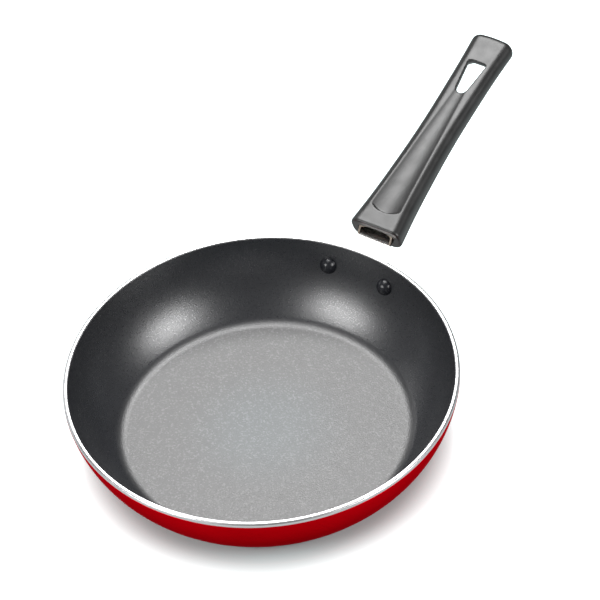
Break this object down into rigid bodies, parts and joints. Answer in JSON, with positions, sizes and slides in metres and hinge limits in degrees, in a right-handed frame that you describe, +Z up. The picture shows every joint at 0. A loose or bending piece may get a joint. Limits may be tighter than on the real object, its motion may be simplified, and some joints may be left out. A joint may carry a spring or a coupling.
{
  "type": "omelette pan",
  "caption": "Shallow round pan with a curved red wall, a dark non-stick inside, and a tapered black handle with a thumb channel and a hanging slot.",
  "frame": {"origin": "centre of the flat underside", "axes": "+Y along the handle, away from the pan; +Z up; X across, the part is symmetric about X = 0"},
  "size_m": [0.2396, 0.4098, 0.0923],
  "materials": {
    "pan_metal": "satin, turned at the rim and under the base",
    "non_stick": "satin with a fine light speckle",
    "red_enamel": "gloss",
    "bracket_steel": "polished",
    "black_rivet": "gloss",
    "handle_black": "satin moulding",
    "fastener_steel": "bright plated"
  },
  "bodies": {
    "root": {"pan_body": "pan_metal", "cooking_coating": "non_stick", "outer_enamel": "red_enamel", "bracket": "bracket_steel", "rivet_left": "black_rivet", "rivet_right": "black_rivet", "handle_grip": "handle_black", "handle_screw": "fastener_steel", "spring_washer": "fastener_steel", "tang_nut": "fastener_steel"}
  },
  "joints": []
}
